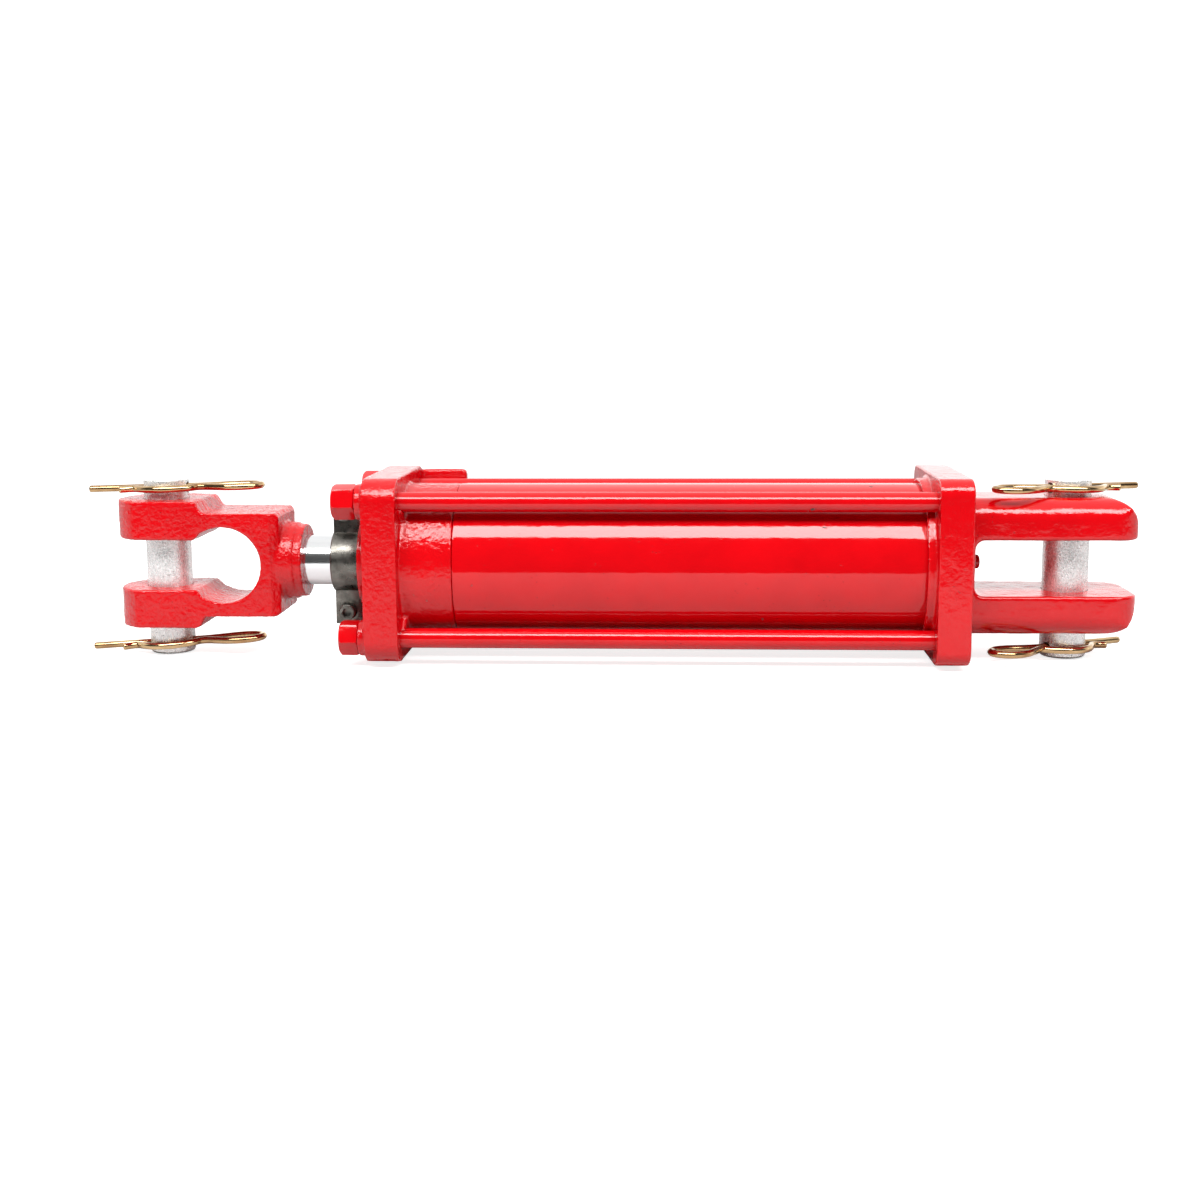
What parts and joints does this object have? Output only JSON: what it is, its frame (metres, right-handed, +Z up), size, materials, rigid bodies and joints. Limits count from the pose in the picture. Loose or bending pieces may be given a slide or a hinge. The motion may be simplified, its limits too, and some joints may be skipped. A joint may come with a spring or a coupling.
{
  "type": "hydraulic cylinder",
  "caption": "Double-acting tie-rod hydraulic cylinder with clevis ends, upright pins with hairpin clips, a chromed rod that extends, and a two-piece stop collar.",
  "frame": {"origin": "middle of the bounding box's footprint, at the lower ends of the two pins; the rod axis is 53.6 mm above it", "axes": "+X along the cylinder from the rod clevis to the base clevis, +Z up along the pins, +Y to the back"},
  "size_m": [0.6062, 0.1024, 0.1048],
  "materials": {
    "red_paint": "gloss red enamel over castings and steel",
    "chrome_rod": "ground and polished hard chrome",
    "zinc_pin": "bright zinc plate, lightly mottled",
    "yellow_zinc": "yellow zinc dichromate on spring wire",
    "black_oxide": "oiled black oxide",
    "plain_steel": "plain machined steel",
    "cast_iron": "machined ductile iron",
    "seal_rubber": "black nitrile",
    "seal_polymer": "polyurethane"
  },
  "bodies": {
    "barrel": {"barrel_tube": "red_paint", "head_cap": "red_paint", "base_cap": "red_paint", "tie_rod_1": "red_paint", "tie_rod_2": "red_paint", "tie_rod_3": "red_paint", "tie_rod_4": "red_paint", "tie_rod_nut_1": "red_paint", "tie_rod_nut_2": "red_paint", "tie_rod_nut_3": "red_paint", "tie_rod_nut_4": "red_paint", "head_oring": "seal_rubber", "base_oring": "seal_rubber", "rod_wiper": "seal_rubber", "rod_seal": "seal_polymer", "rod_bearing": "cast_iron", "base_plug": "red_paint"},
    "piston_seals": {"piston_seal_1": "seal_polymer", "piston_seal_2": "seal_polymer", "piston_wear_ring": "cast_iron"},
    "rod": {"piston_rod": "chrome_rod", "piston": "cast_iron", "piston_oring": "seal_rubber", "piston_nut": "plain_steel", "rod_clevis": "red_paint"},
    "collar": {"collar_half_front": "black_oxide", "collar_half_rear": "black_oxide", "collar_screw_upper": "black_oxide", "collar_screw_lower": "black_oxide", "collar_nut_upper": "black_oxide", "collar_nut_lower": "black_oxide"},
    "rod_pin": {"rod_clevis_pin": "zinc_pin"},
    "base_pin": {"base_clevis_pin": "zinc_pin"},
    "rod_clip_upper": {"rod_hairpin_upper": "yellow_zinc"},
    "rod_clip_lower": {"rod_hairpin_lower": "yellow_zinc"},
    "base_clip_upper": {"base_hairpin_upper": "yellow_zinc"},
    "base_clip_lower": {"base_hairpin_lower": "yellow_zinc"}
  },
  "joints": [
    {"name": "rod_slide", "type": "slide", "parent": "barrel", "child": "piston_seals", "axis": [-1, 0, 0], "range_m": [0, 0.2032]},
    {"name": "rod_turn", "type": "hinge", "parent": "piston_seals", "child": "rod", "pos_m": [0.00106, 0, 0.0536], "axis": [1, 0, 0], "continuous": true},
    {"name": "collar_slide", "type": "slide", "parent": "rod", "child": "collar", "axis": [-1, 0, 0], "range_m": [0, 0.0155]},
    {"name": "rod_pin_turn", "type": "hinge", "parent": "rod", "child": "rod_pin", "pos_m": [-0.25611, 0, 0.0536], "axis": [0, 0, 1], "continuous": true},
    {"name": "base_pin_turn", "type": "hinge", "parent": "barrel", "child": "base_pin", "pos_m": [0.25824, 0, 0.0536], "axis": [0, 0, 1], "continuous": true},
    {"name": "rod_clip_upper_pull", "type": "slide", "parent": "rod_pin", "child": "rod_clip_upper", "axis": [0.9996, 0, 0.0279], "range_m": [0, 0.06], "deforming": ["rod_hairpin_upper"]},
    {"name": "rod_clip_lower_pull", "type": "slide", "parent": "rod_pin", "child": "rod_clip_lower", "axis": [0.9976, 0, 0.0698], "range_m": [0, 0.06], "deforming": ["rod_hairpin_lower"]},
    {"name": "base_clip_upper_pull", "type": "slide", "parent": "base_pin", "child": "base_clip_upper", "axis": [-0.8907, -0.4539, 0.0244], "range_m": [0, 0.06], "deforming": ["base_hairpin_upper"]},
    {"name": "base_clip_lower_pull", "type": "slide", "parent": "base_pin", "child": "base_clip_lower", "axis": [-0.8382, -0.5443, 0.0349], "range_m": [0, 0.06], "deforming": ["base_hairpin_lower"]}
  ]
}
